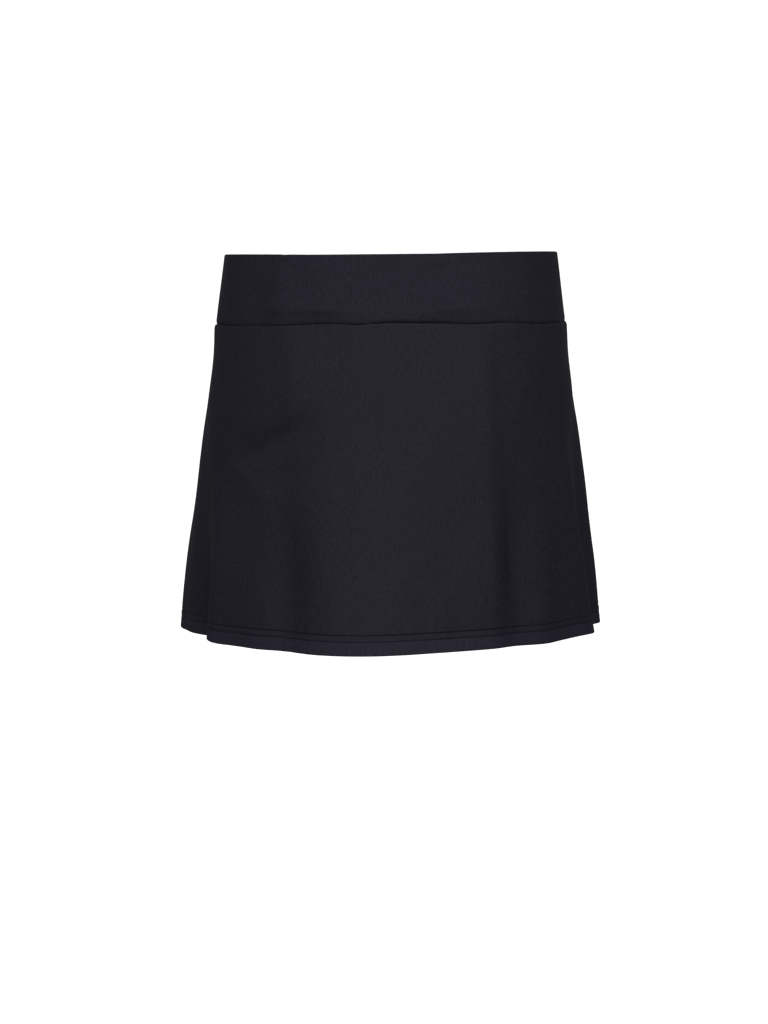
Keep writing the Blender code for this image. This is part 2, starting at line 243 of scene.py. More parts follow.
def between(rows, column, drop):
    """A column of a table of sections at any drops, on a smooth curve through the rows."""
    at = np.array([row.drop for row in rows])
    values = np.array([getattr(row, column) for row in rows])
    rises = np.diff(values) / np.diff(at)
    slopes = [rises[0]]
    for low, high in zip(rises, rises[1:]):
        slopes.append(2 / (1 / low + 1 / high) if low * high > 0 else 0.0)
    slopes = np.array(slopes + [rises[-1]])
    drop = np.clip(drop, at[0], at[-1])
    i = np.clip(np.searchsorted(at, drop, "right") - 1, 0, len(at) - 2)
    step = at[i + 1] - at[i]
    t = (drop - at[i]) / step
    return (
        (2 * t**3 - 3 * t**2 + 1) * values[i]
        + (t**3 - 2 * t**2 + t) * step * slopes[i]
        + (3 * t**2 - 2 * t**3) * values[i + 1]
        + (t**3 - t**2) * step * slopes[i + 1]
    )


def radius(half_width, depth, squareness, across, along):
    """How far out a rounded section lies in the direction (across, along)."""
    reached = np.abs(across / half_width) ** squareness + np.abs(along / depth) ** squareness
    return reached ** (-1 / squareness)


def bump(away):
    """A smooth hump, 1 in the middle and 0 from a distance of 1 on."""
    return np.cos(np.minimum(np.abs(away), 1) * math.pi / 2) ** 2


def turned(angle, middle):
    """Signed degrees from middle to angle, the short way round."""
    return (angle - middle + 180) % 360 - 180


def section_point(rows, angle, drop, rise):
    """Points of a waistband or skirt at angles and drops, moved outwards by rise."""
    turn = np.radians(angle)
    across, along = np.sin(turn), -np.cos(turn)
    depth = np.where(along < 0, between(rows, "front", drop), between(rows, "back", drop))
    half_width = between(rows, "half_width", drop)
    squareness = between(rows, "squareness", drop)
    out = rise + radius(half_width, depth, squareness, across, along)
    return np.stack([out * across, out * along, SIDE_TILT * out * across - drop], axis=-1)


def flute_rise(angle, drop):
    """How far the flutes move the skirt outwards."""
    rise = np.zeros_like(angle)
    for flute in FLUTES:
        grown = np.clip((drop - flute.start) / (SKORT_LENGTH - flute.start), 0, 1)
        middle = flute.top_angle + (flute.hem_angle - flute.top_angle) * grown
        rise += flute.rise * grown**FLUTE_OPENING * bump(turned(angle, middle) / flute.spread)
    return rise


def crease_rise(creases, angle, drop):
    """How far a table of creases moves the cloth outwards."""
    share = np.linspace(0, 1, CREASE_POINTS)
    rise = np.zeros_like(angle)
    for crease in creases:
        a, m, b = (1 - share) ** 2, 2 * share * (1 - share), share**2
        # the control point that brings the curve through the middle point
        control_angle = 2 * crease.angle_m - (crease.angle_a + crease.angle_b) / 2
        control_drop = 2 * crease.drop_m - (crease.drop_a + crease.drop_b) / 2
        path_angle = a * crease.angle_a + m * control_angle + b * crease.angle_b
        path_drop = a * crease.drop_a + m * control_drop + b * crease.drop_b
        strength = bump((share - crease.peak) / np.where(share < crease.peak, crease.peak, 1 - crease.peak))
        run_x, run_z = np.gradient(path_angle) * METRES_PER_DEGREE, -np.gradient(path_drop)
        run = np.hypot(run_x, run_z)
        nearest = np.full(angle.shape, np.inf)
        here = np.zeros_like(angle)
        side = np.zeros_like(angle)
        for k in range(CREASE_POINTS):
            x = turned(angle, path_angle[k]) * METRES_PER_DEGREE
            z = path_drop[k] - drop
            apart = np.hypot(x, z)
            closer = apart < nearest
            nearest = np.where(closer, apart, nearest)
            here = np.where(closer, strength[k], here)
            side = np.where(closer, (run_x[k] * z - run_z[k] * x) / run[k], side)
        blend = 0.5 + 0.5 * np.tanh(side / CREASE_BLEND)
        width = crease.near * blend + crease.far * (1 - blend)
        rise -= crease.depth * here * np.exp(-((nearest / width) ** 2))
    return rise


def waves(rows, angle, drop):
    """The sum of a table of waves."""
    turn = np.radians(angle)
    return sum(row.size * np.sin(row.round_body * turn + row.per_drop * drop + row.start) for row in rows)


def uneven(angle, drop, size):
    """The slight waviness that no cloth is without."""
    return size * waves(UNEVEN_WAVES, angle, drop)


def puckers(angle, distance, pull):
    """Small gathers that run off a line of sewing, in two sets of 83 and 61 round the body, neither even."""
    turn = np.radians(angle)
    wave = np.sin(83 * turn + 0.7 * np.sin(19 * turn)) + 0.8 * np.sin(61 * turn + 2.0 + np.sin(13 * turn))
    return pull.size * wave * np.exp(-np.abs(distance) / pull.reach)


def welt(distance, size, half_width):
    """A rounded ridge along a line of sewing, or a groove if size is negative."""
    return size * np.exp(-((distance / half_width) ** 2))


def lifted(lifts, angle, from_edge):
    """How far a table of lifts raises the cloth, this far from the edge that they belong to."""
    rise = np.zeros_like(angle)
    for lift in lifts:
        fading = np.clip(1 - from_edge / lift.reach, 0, 1)
        rise += lift.rise * bump(turned(angle, lift.angle) / lift.spread) * fading
    return rise


def seam_waver(angle, distance):
    """How much the cloth this far from the waist seam goes up and down with it."""
    return waves(SEAM_WAVES, angle, 0.0) * np.clip(1 - distance / SEAM_WAVER_REACH, 0, 1)


def band_bottom(angle):
    """The drop of the waist seam."""
    return BAND_HEIGHT + BAND_SIDE_EXTRA * np.sin(np.radians(angle)) ** 2


def side_distance(angle):
    """Distance round the body to the nearer side seam."""
    return np.minimum(np.abs(turned(angle, 90)), np.abs(turned(angle, -90))) * METRES_PER_DEGREE


def turned_under(distance, pull, deeper=0.0):
    """How far the cloth's face falls away towards a seam, this far from it."""
    return -(pull.size + deeper) * np.clip(1 - distance / pull.reach, 0, 1) ** 2


def seam_sag(angle):
    """How much deeper the waist seam lies, where the waistband hangs over it."""
    return SEAM_SAG * bump(turned(angle, SEAM_SAG_ANGLE) / SEAM_SAG_SPREAD)


def band_surface(angle, drop):
    """Points of the waistband's face."""
    above = band_bottom(angle) - drop
    rise = (
        crease_rise(BAND_CREASES, angle, drop)
        + uneven(angle, drop, BAND_UNEVENNESS)
        + puckers(angle, above, BAND_PUCKERS)
        + turned_under(above, BAND_TURN, seam_sag(angle))
        + turned_under(side_distance(angle), SIDE_TURN)
    )
    points = section_point(BAND_SECTIONS, angle, drop, rise)
    points[..., 2] += seam_waver(angle, above) + lifted(TOP_LIFTS, angle, drop)
    return points


def skirt_surface(angle, drop):
    """Points of the skirt's face."""
    below = drop - band_bottom(angle)
    over_hem = SKORT_LENGTH - drop
    rise = (
        flute_rise(angle, drop)
        + crease_rise(SKIRT_CREASES, angle, drop)
        + uneven(angle, drop, SKIRT_UNEVENNESS)
        + puckers(angle, below, SKIRT_PUCKERS)
        + puckers(angle + HEM_PUCKER_SHIFT, over_hem - NEEDLE_ROWS[1], HEM_PUCKERS)
        + turned_under(below, SKIRT_TURN, seam_sag(angle))
        + turned_under(side_distance(angle), SIDE_TURN)
    )
    for height, depth in zip(NEEDLE_ROWS, NEEDLE_GROOVES):
        rise += welt(over_hem - height, -depth, GROOVE_HALF_WIDTH)
    rise += welt(over_hem - sum(NEEDLE_ROWS) / 2, *BETWEEN_NEEDLES)
    rise += HEM_FLARE * np.cos(np.radians(angle)) ** 2 * np.clip(1 - over_hem / NEEDLE_ROWS[1], 0, 1)
    points = section_point(SKIRT_SECTIONS, angle, drop, rise)
    points[..., 2] += seam_waver(angle, below) + lifted(HEM_LIFTS, angle, over_hem)
    return points


def leg_surface(turn, drop):
    """Points of the +X leg at angles round its middle: -90 is its front, 0 its outer side and 90 its back."""
    across, along = np.cos(np.radians(turn)), np.sin(np.radians(turn))
    depth = np.where(along < 0, between(LEG_SECTIONS, "front", drop), between(LEG_SECTIONS, "back", drop))
    half_width = between(LEG_SECTIONS, "half_width", drop)
    squareness = between(LEG_SECTIONS, "squareness", drop)
    over_rows = SHORTS_LENGTH - drop - LEG_NEEDLE_ROWS[1]
    out = (
        radius(half_width, depth, squareness, across, along)
        + puckers(turn * 0.5, over_rows, LEG_HEM_PUCKERS)
        + uneven(turn, drop, SHORTS_UNEVENNESS)
    )
    x = between(LEG_SECTIONS, "middle_x", drop) + out * across
    y = between(LEG_SECTIONS, "middle_y", drop) + out * along
    return np.stack([x, y, drop + 0 * x], axis=-1)


def crotch_curve(share):
    """The middle seam's curve under the body, from its front end at 0 to its back end at 1."""
    front = leg_surface(np.array(-90.0), RISE_START)[1]
    back = leg_surface(np.array(90.0), RISE_START)[1]
    turn = math.pi * (share - 0.5)
    y = (front + back) / 2 + (back - front) / 2 * np.sin(turn)
    drop = RISE_START + (CROTCH_DROP - RISE_START) * np.cos(turn)
    return np.stack([0 * y, y, drop], axis=-1)


def inner_leg(share, down):
    """The inside of the +X leg, from its front line at share 0 to its back line at 1."""
    drop = RISE_START + (SHORTS_LENGTH - RISE_START) * down
    share, down = share[..., None], down[..., None]
    hem = leg_surface(-90 - 180 * share[..., 0], SHORTS_LENGTH + 0 * drop)
    front, back = leg_surface(-90 + 0 * drop, drop), leg_surface(90 + 0 * drop, drop)
    corners = (
        (1 - share) * (1 - down) * crotch_curve(np.array(0.0))
        + share * (1 - down) * crotch_curve(np.array(1.0))
        + (1 - share) * down * leg_surface(np.array(-90.0), SHORTS_LENGTH)
        + share * down * leg_surface(np.array(90.0), SHORTS_LENGTH)
    )
    seam = crotch_curve(share[..., 0])
    return (1 - down) * seam + down * hem + (1 - share) * front + share * back - corners


# --- Grids of cloth ---

def unit(vectors):
    return vectors / np.linalg.norm(vectors, axis=-1, keepdims=True)


def outward(grid, closed):
    """Unit normals of a grid of points, rows running down and columns round the body to its right."""
    if closed:
        round_body = np.roll(grid, -1, axis=1) - np.roll(grid, 1, axis=1)
    else:
        round_body = np.gradient(grid, axis=1)
    return unit(np.cross(np.gradient(grid, axis=0), round_body))


def folded(grid, normals, wall, fold_rows, inside_rows):
    """A grid whose last row rolls round to its inside and comes back behind the inside_rows before it."""
    turn = np.linspace(0, math.pi, fold_rows + 2)[1:-1, None, None]
    onward = unit(grid[-1] - grid[-2])
    fold = grid[-1] + (onward * np.sin(turn) - normals[-1] * (1 - np.cos(turn))) * wall / 2
    inside = (grid - normals * wall)[::-1][:inside_rows]
    return np.concatenate([grid, fold, inside])


def cloth_uv(grid, closed):
    """Each point's place in the flat cloth, in metres: across from the middle of its row, and down."""
    steps = np.linalg.norm(np.diff(grid, axis=1), axis=-1)
    across = np.concatenate([np.zeros((len(grid), 1)), np.cumsum(steps, axis=1)], axis=1)
    across -= across[:, grid.shape[1] // 2][:, None]
    drops = np.linalg.norm(np.diff(grid, axis=0), axis=-1).mean(axis=1)
    down = np.concatenate([[0], np.cumsum(drops)])
    return np.stack([across, np.repeat(down[:, None], grid.shape[1], axis=1)], axis=-1)


def grid_mesh(name, grids):
    """One mesh from (grid, closed) pairs, with the knit's grain in its UV map."""
    points, faces, uvs, start = [], [], [], 0
    for grid, closed in grids:
        rows, columns = grid.shape[:2]
        uv = cloth_uv(grid, closed)
        for i in range(rows - 1):
            for j in range(columns if closed else columns - 1):
                k = (j + 1) % columns
                corners = ((i, j), (i + 1, j), (i + 1, k), (i, k))
                faces.append([start + a * columns + b for a, b in corners])
                uvs.extend(uv[a, b] for a, b in corners)
        points.append(grid.reshape(-1, 3))
        start += rows * columns
    mesh = bpy.data.meshes.new(name)
    mesh.from_pydata(np.concatenate(points).tolist(), [], faces)
    layer = mesh.uv_layers.new(name="grain")
    layer.data.foreach_set("uv", np.array(uvs, dtype=np.float32).ravel())
    mesh.shade_smooth()
    return mesh


def apply_modifier(piece, modifier):
    with bpy.context.temp_override(object=piece, active_object=piece, selected_objects=[piece]):
        bpy.ops.object.modifier_apply(modifier=modifier.name)


def solid_cloth(piece, thickness):
    """Gives a piece its thickness, on the inside of its face."""
    solidify = piece.modifiers.new("thickness", "SOLIDIFY")
    solidify.thickness = thickness
    solidify.offset = -1
    solidify.use_quality_normals = True
    apply_modifier(piece, solidify)
    piece.data.shade_smooth()


def place(name, mesh, material):
    """Puts a mesh in the scene as a piece of the one body."""
    piece = bpy.data.objects.new(name, mesh)
    bpy.context.scene.collection.objects.link(piece)
    mesh.materials.append(material)
    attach(piece, "root")
    return piece


# --- Stitching ---

# Sections along one stitch, which dips into the cloth at both ends: the place along it as a share of its
# length, its thickness as a share of the thread's, and its middle's height in thread radii.
STITCH_PROFILE = (
    (-0.47, 0.35, -0.9),
    (-0.36, 0.9, -0.15),
    (-0.12, 1.0, 0.3),
    (0.12, 1.0, 0.3),
    (0.36, 0.9, -0.15),
    (0.47, 0.35, -0.9),
)
STITCH_SIDES = 6
LOOPER_SIDES = 4
LOOPER_POINTS = 4           # along one swing of a looper thread, there and back


def run_lengths(path):
    """How far along a path each of its points lies."""
    return np.concatenate([[0], np.cumsum(np.linalg.norm(np.diff(path, axis=0), axis=1))])


def taken(line, at, along):
    """A line's values at the distances at, where along says how far along each of its own lies."""
    return np.stack([np.interp(at, along, line[:, k]) for k in range(3)], axis=1)


def tube_faces(rings, sides, start=0):
    """Faces of a closed tube of rings, whose first vertex is number start."""
    faces = []
    for i in range(rings - 1):
        for k in range(sides):
            a, b = start + i * sides + k, start + i * sides + (k + 1) % sides
            faces.append((a, a + sides, b + sides, b))
    faces.append(tuple(start + k for k in range(sides)))
    faces.append(tuple(start + (rings - 1) * sides + k for k in reversed(range(sides))))
    return faces


def stitches(lines):
    """Vertices and faces of stitches laid end to end along lines, each a path with its outward directions."""
    vertices, faces = [], []
    for path, normals in lines:
        along = run_lengths(path)
        at = (np.arange(int(along[-1] / STITCH)) + 0.5) * STITCH
        directions = unit(taken(path, at + STITCH / 4, along) - taken(path, at - STITCH / 4, along))
        for point, direction, normal in zip(taken(path, at, along), directions, taken(normals, at, along)):
            normal = unit(normal - direction * normal.dot(direction))
            across = np.cross(direction, normal)
            faces.extend(tube_faces(len(STITCH_PROFILE), STITCH_SIDES, len(vertices)))
            for share, thick, lift in STITCH_PROFILE:
                middle = point + direction * share * STITCH + normal * lift * THREAD / 2
                for turn in np.linspace(0, 2 * math.pi, STITCH_SIDES, endpoint=False):
                    ring = across * math.cos(turn) + normal * math.sin(turn)
                    vertices.append(middle + ring * thick * THREAD / 2)
    return vertices, faces


def looper(low, high, normals, pitch, lift, thickness):
    """Vertices and faces of a thread that swings between two lines of points, there and back every pitch."""
    along = run_lengths(low)
    at = np.arange(0, along[-1], pitch / LOOPER_POINTS)
    swing = 0.5 + 0.5 * np.sin(at / pitch * 2 * math.pi)
    a, b, normals = taken(low, at, along), taken(high, at, along), unit(taken(normals, at, along))
    path = a + (b - a) * swing[:, None] + normals * lift
    directions = unit(np.gradient(path, axis=0))
    across = unit(np.cross(directions, normals))
    upward = np.cross(across, directions)
    turns = np.linspace(0, 2 * math.pi, LOOPER_SIDES, endpoint=False)[None, :, None]
    ring = across[:, None] * np.cos(turns) + upward[:, None] * np.sin(turns)
    return (path[:, None] + ring * thickness / 2).reshape(-1, 3), tube_faces(len(path), LOOPER_SIDES)


def sewn_piece(name, thread):
    """A piece of sewing thread from its vertices and faces."""
    vertices, faces = thread
    mesh = bpy.data.meshes.new(name)
    mesh.from_pydata([tuple(vertex) for vertex in vertices], [], faces)
    mesh.shade_smooth()
    return place(name, mesh, SEWING_THREAD)


# --- Materials ---

# A knit's look. Its loops stand in upright wales, wale metres apart, crossed by courses, course metres apart,
# and streak is how much its lightness wanders, as a share.
Knit = namedtuple("Knit", "colour roughness sheen wale course streak")

OUTER_JERSEY = Knit((0.0135, 0.0126, 0.0240), 0.58, 0.0, 0.00072, 0.00060, 0.50)
SHORTS_JERSEY = Knit((0.0155, 0.0150, 0.0208), 0.66, 0.12, 0.00052, 0.00046, 0.30)
KNIT_SPECULAR = 0.2
KNIT_SHEEN_ROUGHNESS = 0.45
KNIT_SHEEN_TINT = (0.75, 0.76, 1.0)
HEM_PAINTED_LIGHT_GAIN = 0.30         # painted highlight: how much paler the cloth is painted where the hem doubles it, for the light that the flared hem catches
COURSE_SHARE = 0.3          # how much of a loop's height the courses make
LOOP_HEIGHT = 0.6           # the loops' share of the bumps, and the loose fibres'
FIBRE_HEIGHT = 0.8
BUMP_STRENGTH = 0.35
BUMP_DISTANCE = 0.00025
HUE_SHIFT = (0.08, 0.0, -0.06)      # from the middle colour to either side, as shares

# Noise over the cloth: how fine it is across and down, per metre, and its detail.
Noise = namedtuple("Noise", "across down detail")

WALE_WANDER = Noise(140, 55, 2)
WALE_WANDER_SIZE = 1.6      # radians
STREAKS = Noise(800, 130, 3)
MOTTLE = Noise(420, 340, 3)
HUE_PATCHES = Noise(230, 170, 2)
NOISE_ROUGHNESS = 0.6
TONE_RANGE = (0.3, 0.7)     # of the noise, which the streaks are spread over

THREAD_BLACK = (0.0060, 0.0058, 0.0090)
THREAD_ROUGHNESS = 0.55
THREAD_SPECULAR = 0.4
THREAD_TWIST = 2600         # how fine its twist is, per metre
THREAD_BUMP_STRENGTH = 0.5
THREAD_BUMP_DISTANCE = 0.0001


def shader_material(name, colour, roughness, specular):
    material = bpy.data.materials.new(name)
    material.use_nodes = True
    shader = material.node_tree.nodes["Principled BSDF"]
    shader.inputs["Base Color"].default_value = (*colour, 1)
    shader.inputs["Roughness"].default_value = roughness
    shader.inputs["Specular IOR Level"].default_value = specular
    return material, shader


def bumps(tree, shader, height, strength, distance):
    """Makes a shader's surface follow a height."""
    raised = tree.nodes.new("ShaderNodeBump")
    raised.inputs["Strength"].default_value = strength
    raised.inputs["Distance"].default_value = distance
    tree.links.new(height, raised.inputs["Height"])
    tree.links.new(raised.outputs[0], shader.inputs["Normal"])


def math_node(tree, kind, *values):
    """What a math node makes of values, which are sockets or numbers."""
    node = tree.nodes.new("ShaderNodeMath")
    node.operation = kind
    for socket, value in zip(node.inputs, values):
        if isinstance(value, (int, float)):
            socket.default_value = value
        else:
            tree.links.new(value, socket)
    return node.outputs[0]


def weighed(tree, a, weight_a, b, weight_b):
    """The sum of two sockets' values, each times its weight."""
    return math_node(
        tree, "ADD", math_node(tree, "MULTIPLY", a, weight_a), math_node(tree, "MULTIPLY", b, weight_b)
    )


def noise(tree, grain, kind):
    """Noise over the flat cloth. grain is the socket that gives the place in it."""
    stretch = tree.nodes.new("ShaderNodeMapping")
    stretch.inputs["Scale"].default_value = (kind.across, kind.down, 1)
    tree.links.new(grain, stretch.inputs["Vector"])
    texture = tree.nodes.new("ShaderNodeTexNoise")
    texture.inputs["Scale"].default_value = 1
    texture.inputs["Detail"].default_value = kind.detail
    texture.inputs["Roughness"].default_value = NOISE_ROUGHNESS
    tree.links.new(stretch.outputs[0], texture.inputs["Vector"])
    return texture.outputs["Fac"]


def loop_height(tree, grain, knit):
    """How high the knit's loops stand: upright wales, crossed by courses."""
    split = tree.nodes.new("ShaderNodeSeparateXYZ")
    tree.links.new(grain, split.inputs[0])
    across, down = split.outputs[0], split.outputs[1]
    wander = noise(tree, grain, WALE_WANDER)
    wales = math_node(tree, "SINE", weighed(tree, across, 2 * math.pi / knit.wale, wander, WALE_WANDER_SIZE))
    courses = math_node(tree, "SINE", math_node(tree, "MULTIPLY", down, 2 * math.pi / knit.course))
    crossed = math_node(tree, "ADD", math_node(tree, "MULTIPLY", courses, COURSE_SHARE), 1 - COURSE_SHARE)
    return math_node(tree, "MULTIPLY", math_node(tree, "ABSOLUTE", wales), crossed)


def yarn_lightness(tree, grain, knit, mottle):
    """How the yarn's lightness wanders about 1, with a painted highlight that makes it rise where the hem
    doubles the cloth.
    """
    tone = tree.nodes.new("ShaderNodeMapRange")
    tone.inputs["From Min"].default_value, tone.inputs["From Max"].default_value = TONE_RANGE
    tone.inputs["To Min"].default_value = 1 - knit.streak
    tone.inputs["To Max"].default_value = 1 + knit.streak
    tree.links.new(weighed(tree, noise(tree, grain, STREAKS), 0.5, mottle, 0.5), tone.inputs["Value"])
    # painted highlight: the hem below its lower needle row is painted paler, standing in for the light that
    # its flare catches
    hem_painted_light = tree.nodes.new("ShaderNodeAttribute")
    hem_painted_light.attribute_name = "hem_painted_light"
    painted_hem_light = math_node(tree, "MULTIPLY", hem_painted_light.outputs["Fac"], HEM_PAINTED_LIGHT_GAIN)
    return math_node(tree, "MULTIPLY", tone.outputs[0], math_node(tree, "ADD", painted_hem_light, 1.0))


def yarn_hue(tree, grain, knit):
    """The yarn's colour, which drifts a little from patch to patch."""
    mix = tree.nodes.new("ShaderNodeMix")
    mix.data_type = "RGBA"
    for socket, way in (("A", 1), ("B", -1)):
        shifted = [part * (1 + way * shift) for part, shift in zip(knit.colour, HUE_SHIFT)]
        mix.inputs[socket].default_value = (*shifted, 1)
    tree.links.new(noise(tree, grain, HUE_PATCHES), mix.inputs["Factor"])
    return mix.outputs["Result"]


def knit_material(name, knit):
    """Jersey of slightly uneven yarn."""
    material, shader = shader_material(name, knit.colour, knit.roughness, KNIT_SPECULAR)
    shader.inputs["Sheen Weight"].default_value = knit.sheen
    shader.inputs["Sheen Roughness"].default_value = KNIT_SHEEN_ROUGHNESS
    shader.inputs["Sheen Tint"].default_value = (*KNIT_SHEEN_TINT, 1)
    tree = material.node_tree
    uv_map = tree.nodes.new("ShaderNodeUVMap")
    uv_map.uv_map = "grain"
    grain = uv_map.outputs["UV"]
    mottle = noise(tree, grain, MOTTLE)
    height = weighed(tree, loop_height(tree, grain, knit), LOOP_HEIGHT, mottle, FIBRE_HEIGHT)
    bumps(tree, shader, height, BUMP_STRENGTH, BUMP_DISTANCE)
    tinted = tree.nodes.new("ShaderNodeVectorMath")
    tinted.operation = "SCALE"
    tree.links.new(yarn_hue(tree, grain, knit), tinted.inputs[0])
    tree.links.new(yarn_lightness(tree, grain, knit, mottle), tinted.inputs["Scale"])
    tree.links.new(tinted.outputs[0], shader.inputs["Base Color"])
    return material


def thread_material():
    """Twisted polyester thread, a little glossier than the cloth."""
    material, shader = shader_material("sewing_thread", THREAD_BLACK, THREAD_ROUGHNESS, THREAD_SPECULAR)
    tree = material.node_tree
    coordinates = tree.nodes.new("ShaderNodeTexCoord")
    twist = tree.nodes.new("ShaderNodeTexNoise")
    twist.inputs["Scale"].default_value = THREAD_TWIST
    twist.inputs["Detail"].default_value = 1
    tree.links.new(coordinates.outputs["Object"], twist.inputs["Vector"])
    bumps(tree, shader, twist.outputs["Fac"], THREAD_BUMP_STRENGTH, THREAD_BUMP_DISTANCE)
    return material


OUTER_KNIT = knit_material("outer_jersey", OUTER_JERSEY)
SHORTS_KNIT = knit_material("shorts_jersey", SHORTS_JERSEY)
SEWING_THREAD = thread_material()


# --- Waistband and skirt ---

PANELS = {"front": (-90, 90), "back": (90, 270)}
PANEL_EDGE = (0, 0.12, 0.28, 0.5, 0.8)      # degrees from a side seam, where the columns are close together
PANEL_INSET = 1.2                           # and where the even ones start
SKIRT_COLUMNS = 230
SKIRT_ROW = 0.0026          # between the even rows
BAND_COLUMNS = 200
BAND_ROW = 0.0013
HEM_FOLD_ROWS = 7
TOP_ROLL_ROWS = 9


def panel_angles(side, columns):
    """Angles across a panel, closer together at its side seams, where it meets the other panel."""
    first, last = PANELS[side]
    edge = np.array(PANEL_EDGE)
    even = np.linspace(first + PANEL_INSET, last - PANEL_INSET, columns)
    return np.concatenate([first + edge, even, (last - edge)[::-1]])


def row_shares(near_top, near_hem, height, spacing):
    """Rows from 0 at the top to 1 at the bottom: fine ones near both ends and even ones between."""
    count = int((height - near_top[-1] - near_hem[-1]) / spacing)
    between_rows = np.linspace(near_top[-1], height - near_hem[-1], count + 1)[1:-1]
    return np.concatenate([near_top, between_rows, height - np.array(near_hem)[::-1]]) / height


def millimetres(*values):
    """Metres from millimetres."""
    return np.array(values) / 1000


SKIRT_TOP_ROWS = millimetres(0, 0.4, 0.8, 1.3, 2.0, 2.8, 3.8, 5, 7, 9.5)
SKIRT_HEM_ROWS = millimetres(
    0.85, 1.6, 2.8, 4.4, 6.2, 8, 9.5,
    10.2, 10.5, 10.75, 10.95, 11.1, 11.25, 11.45, 11.7, 12.1,       # close together at a needle row
    13, 14, 14.9,
    15.6, 15.9, 16.15, 16.35, 16.5, 16.65, 16.85, 17.1, 17.5,       # and at the other
    18.2, 19.2, 20.6, 22.5,
)
BAND_TOP_ROWS = millimetres(1.2, 1.6, 2.4, 3.6, 5.5)
BAND_SEAM_ROWS = millimetres(0, 0.4, 0.8, 1.3, 2.0, 2.8, 3.8, 5.2, 7.2)
HEM_PAINTED_LIGHT_BLEND = 0.001       # how gradually the hem's painted highlight starts


def waistband_piece(side):
    """The outer face, rows running up, rolled over at the top edge and down again as the facing."""
    angle = panel_angles(side, BAND_COLUMNS)[None, :]
    top = WAIST_DIP * np.maximum(0, np.cos(np.radians(angle))) ** 2
    top = top + SIDE_DIP.size * bump(side_distance(angle) / SIDE_DIP.reach)
    shares = row_shares(BAND_TOP_ROWS, BAND_SEAM_ROWS, BAND_HEIGHT, BAND_ROW)[::-1, None]
    drop = top + shares * (band_bottom(angle) - top)
    face = band_surface(angle + 0 * drop, drop)
    normals = outward(face[::-1], False)[::-1]
    grid = folded(face, normals, BAND_WALL, TOP_ROLL_ROWS, len(face))[::-1]
    name = "waistband_%s_cloth" % side
    piece = place(name, grid_mesh(name, [(grid, False)]), OUTER_KNIT)
    solid_cloth(piece, KNIT)
    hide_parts("waistband_%s" % side)
    return piece


def skirt_piece(side):
    """The face, folded under at the hem and turned up inside as far as its cut edge."""
    angle = panel_angles(side, SKIRT_COLUMNS)[None, :]
    top = band_bottom(angle) + SEAM_GAP
    shares = row_shares(SKIRT_TOP_ROWS, SKIRT_HEM_ROWS, SKORT_LENGTH - BAND_HEIGHT, SKIRT_ROW)[:, None]
    drop = top + shares * (SKORT_LENGTH - top)
    face = skirt_surface(angle + 0 * drop, drop)
    inside_rows = int((SKIRT_HEM_ROWS <= TURN_UP).sum())
    grid = folded(face, outward(face, False), HEM_WALL, HEM_FOLD_ROWS, inside_rows)
    mesh = grid_mesh("skirt_%s_cloth" % side, [(grid, False)])
    over_hem = np.zeros(grid.shape[:2])
    over_hem[: len(drop)] = SKORT_LENGTH - drop
    over_hem[-inside_rows:] = SKORT_LENGTH - drop[::-1][:inside_rows]
    # painted highlight: where the hem doubles the cloth, below the lower needle row, the cloth is painted
    # paler
    hem_painted_light_mask = np.clip((NEEDLE_ROWS[0] - over_hem) / HEM_PAINTED_LIGHT_BLEND, 0, 1)
    hem_painted_light = mesh.attributes.new("hem_painted_light", "FLOAT", "POINT")
    hem_painted_light.data.foreach_set("value", hem_painted_light_mask.astype(np.float32).ravel())
    piece = place("skirt_%s_cloth" % side, mesh, OUTER_KNIT)
    solid_cloth(piece, KNIT)
    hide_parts("skirt_%s" % side)
    return piece


HEM_SEWING_INSET = 0.15     # degrees from the side seams
HEM_SEWING_POINTS = 1500
LINE_STEP = 0.0004          # between the rows that a line of sewing's directions are taken from
LOOPER_PAST_ROWS = (0.0004, 0.0012)     # how far the looper thread goes past the lower and the upper row
LOOPER_LIFT = 0.0002
LOOPER_THREAD = THREAD * 1.1


def skirt_line(angles, drop, depth=0.0):
    """A level line on the skirt's face, or depth inside it, and the outward directions along it."""
    drops = np.array([drop - LINE_STEP, drop, drop + LINE_STEP])[:, None] + 0 * angles[None, :]
    rows = skirt_surface(angles[None, :] + 0 * drops, drops)
    normals = outward(rows, False)[1]
    return rows[1] - normals * depth, normals


def hem_sewing(side):
    """The hem's two rows of needle stitches, and the looper thread that crosses between them inside."""
    first, last = PANELS[side]
    angles = np.linspace(first + HEM_SEWING_INSET, last - HEM_SEWING_INSET, HEM_SEWING_POINTS)
    rows = [skirt_line(angles, SKORT_LENGTH - height) for height in NEEDLE_ROWS]
    needles = sewn_piece("hem_needle_stitches_%s" % side, stitches(rows))
    low, normals = skirt_line(angles, SKORT_LENGTH - NEEDLE_ROWS[0] + LOOPER_PAST_ROWS[0], HEM_WALL)
    high, _ = skirt_line(angles, SKORT_LENGTH - NEEDLE_ROWS[1] - LOOPER_PAST_ROWS[1], HEM_WALL)
    crossing = looper(low, high, -normals, STITCH, LOOPER_LIFT, LOOPER_THREAD)
    return [needles, sewn_piece("hem_looper_thread_%s" % side, crossing)]


waistband_front = waistband_piece("front")
waistband_back = waistband_piece("back")
skirt_front = skirt_piece("front")
skirt_back = skirt_piece("back")
hem_front = hem_sewing("front")
hem_back = hem_sewing("back")


# --- Shorts ---

LEG_OUTER_COLUMNS = 96
LEG_INNER_COLUMNS = 48
HIP_ROWS = 29
LEG_ROW = 0.004
LEG_TOP_ROWS = millimetres(0, 2)
WELD_DISTANCE = 0.00001
LEG_HEM_ROWS = millimetres(
    0.75, 1.6, 3, 5, 7.5, 10, 11.8, 12.8, 13.5, 14.2, 15.2, 16.3, 17.0, 17.7, 18.5, 20, 22,
)


